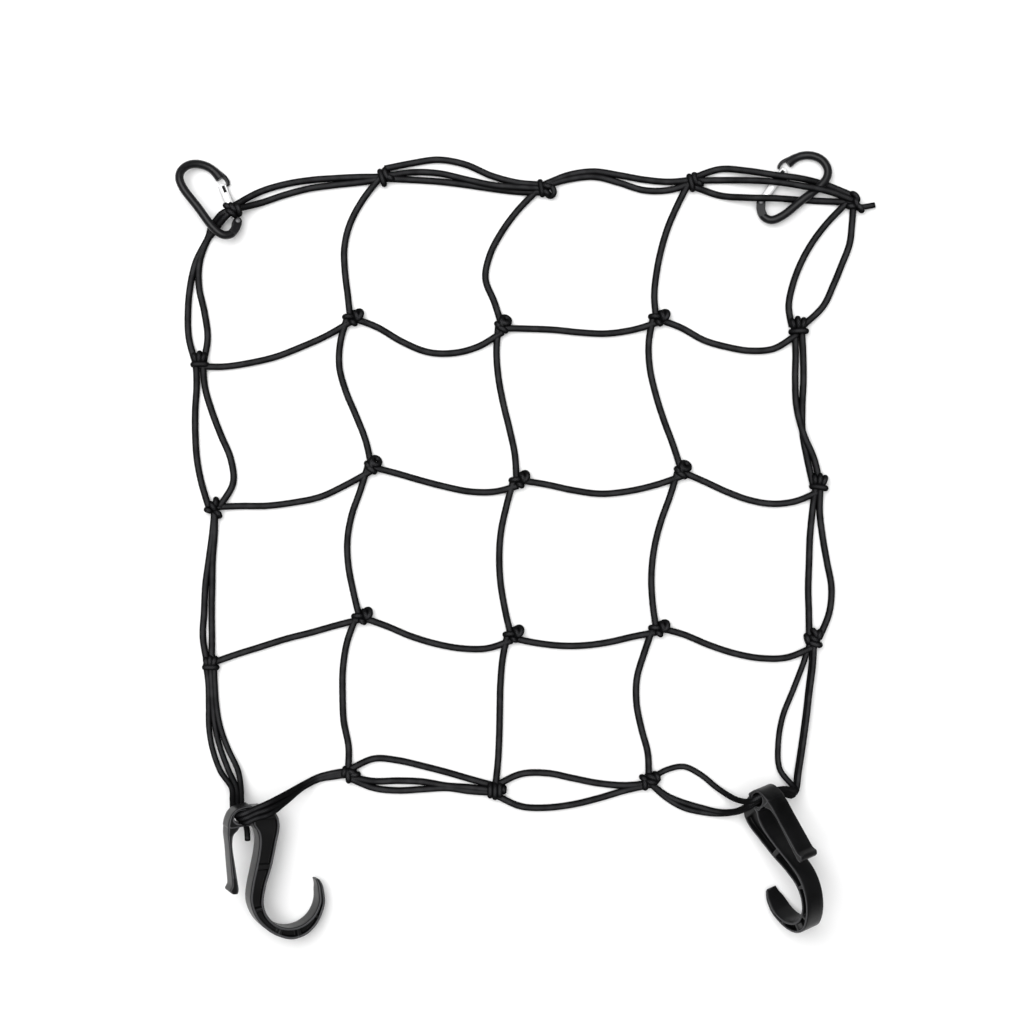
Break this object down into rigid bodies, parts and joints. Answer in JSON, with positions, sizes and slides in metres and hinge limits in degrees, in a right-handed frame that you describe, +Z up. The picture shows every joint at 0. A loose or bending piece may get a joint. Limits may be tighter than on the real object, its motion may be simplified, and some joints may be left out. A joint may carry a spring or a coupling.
{
  "type": "cargo net",
  "caption": "Square elastic cargo net of knotted round cord, spread flat, with moulded hooks on its lower corners and sprung-gate snap links on its upper corners.",
  "frame": {"origin": "middle of the outer box in X and Y, on the plane that the net lies on", "axes": "+X to the right-hand side as the net is spread, +Y to the side with the snap links, +Z up off the surface"},
  "size_m": [0.4642, 0.5212, 0.0556],
  "materials": {
    "cord": "braided black elastic cord",
    "nylon": "satin moulded black plastic",
    "blackened": "satin black anodised light metal",
    "polished": "bright polished"
  },
  "bodies": {
    "net": {"net": "cord", "hook_left": "nylon", "hook_right": "nylon", "carabiner_left": "blackened", "carabiner_right": "blackened", "rivet_left": "polished", "rivet_right": "polished"},
    "gate_left": {"gate_left": "polished"},
    "gate_right": {"gate_right": "polished"}
  },
  "joints": [
    {"name": "gate_left_hinge", "type": "hinge", "parent": "net", "child": "gate_left", "pos_m": [-0.19201, 0.21294, 0.0069], "axis": [0.3236, 0.2464, 0.9135], "range_deg": [0, 20], "stiffness_Nm_per_rad": 0.02, "springref_deg": -28.65},
    {"name": "gate_right_hinge", "type": "hinge", "parent": "net", "child": "gate_right", "pos_m": [0.15587, 0.22607, 0.00427], "axis": [0.0973, -0.1225, -0.9877], "range_deg": [0, 20], "stiffness_Nm_per_rad": 0.02, "springref_deg": -28.65}
  ]
}
